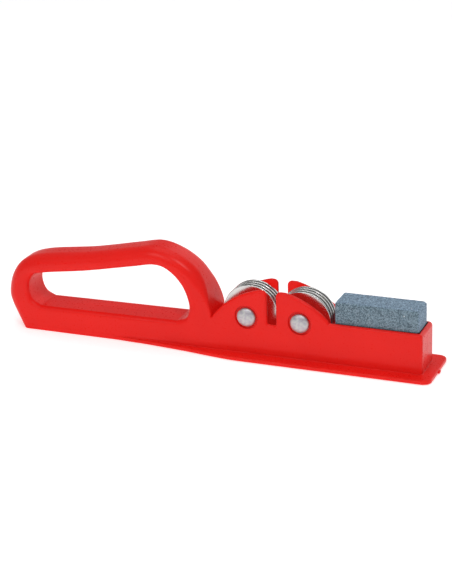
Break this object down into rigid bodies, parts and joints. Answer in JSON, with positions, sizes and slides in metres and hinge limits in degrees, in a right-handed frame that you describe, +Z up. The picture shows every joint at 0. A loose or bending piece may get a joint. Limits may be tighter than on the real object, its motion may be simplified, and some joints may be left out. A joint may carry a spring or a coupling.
{
  "type": "knife sharpener",
  "caption": "Hand-held knife sharpener with a loop handle, stacks of free-turning steel discs that cross under a blade slot, and a whetstone in an open seat.",
  "frame": {"origin": "under the middle of the length, on the plane that the flat base rests on", "axes": "+X along the tool from the handle to the stone end, +Y to the far side, +Z up"},
  "size_m": [0.19, 0.0278, 0.0423],
  "materials": {
    "red_plastic": "satin moulded",
    "grit_stone": "coarse bonded grit",
    "rivet_metal": "satin",
    "disc_steel": "polished",
    "spacer_steel": "turned"
  },
  "bodies": {
    "sharpener": {"sharpener_body": "red_plastic", "whetstone": "grit_stone", "rear_axle_rivet": "rivet_metal", "rear_rivet_cap": "rivet_metal", "rear_ring_1": "spacer_steel", "rear_ring_2": "spacer_steel", "rear_ring_3": "spacer_steel", "rear_near_sleeve": "spacer_steel", "rear_far_sleeve": "spacer_steel", "front_axle_rivet": "rivet_metal", "front_rivet_cap": "rivet_metal", "front_ring_1": "spacer_steel", "front_ring_2": "spacer_steel", "front_ring_3": "spacer_steel", "front_near_sleeve": "spacer_steel", "front_far_sleeve": "spacer_steel"},
    "rear_wheel_1": {"rear_disc_1": "disc_steel"},
    "rear_wheel_2": {"rear_disc_2": "disc_steel"},
    "rear_wheel_3": {"rear_disc_3": "disc_steel"},
    "rear_wheel_4": {"rear_disc_4": "disc_steel"},
    "front_wheel_1": {"front_disc_1": "disc_steel"},
    "front_wheel_2": {"front_disc_2": "disc_steel"},
    "front_wheel_3": {"front_disc_3": "disc_steel"},
    "front_wheel_4": {"front_disc_4": "disc_steel"}
  },
  "joints": [
    {"name": "rear_spin_1", "type": "hinge", "parent": "sharpener", "child": "rear_wheel_1", "pos_m": [0.0156, 0, 0.0172], "axis": [0, 1, 0], "continuous": true},
    {"name": "rear_spin_2", "type": "hinge", "parent": "sharpener", "child": "rear_wheel_2", "pos_m": [0.0156, 0, 0.0172], "axis": [0, 1, 0], "continuous": true},
    {"name": "rear_spin_3", "type": "hinge", "parent": "sharpener", "child": "rear_wheel_3", "pos_m": [0.0156, 0, 0.0172], "axis": [0, 1, 0], "continuous": true},
    {"name": "rear_spin_4", "type": "hinge", "parent": "sharpener", "child": "rear_wheel_4", "pos_m": [0.0156, 0, 0.0172], "axis": [0, 1, 0], "continuous": true},
    {"name": "front_spin_1", "type": "hinge", "parent": "sharpener", "child": "front_wheel_1", "pos_m": [0.0386, 0, 0.0172], "axis": [0, 1, 0], "continuous": true},
    {"name": "front_spin_2", "type": "hinge", "parent": "sharpener", "child": "front_wheel_2", "pos_m": [0.0386, 0, 0.0172], "axis": [0, 1, 0], "continuous": true},
    {"name": "front_spin_3", "type": "hinge", "parent": "sharpener", "child": "front_wheel_3", "pos_m": [0.0386, 0, 0.0172], "axis": [0, 1, 0], "continuous": true},
    {"name": "front_spin_4", "type": "hinge", "parent": "sharpener", "child": "front_wheel_4", "pos_m": [0.0386, 0, 0.0172], "axis": [0, 1, 0], "continuous": true}
  ]
}
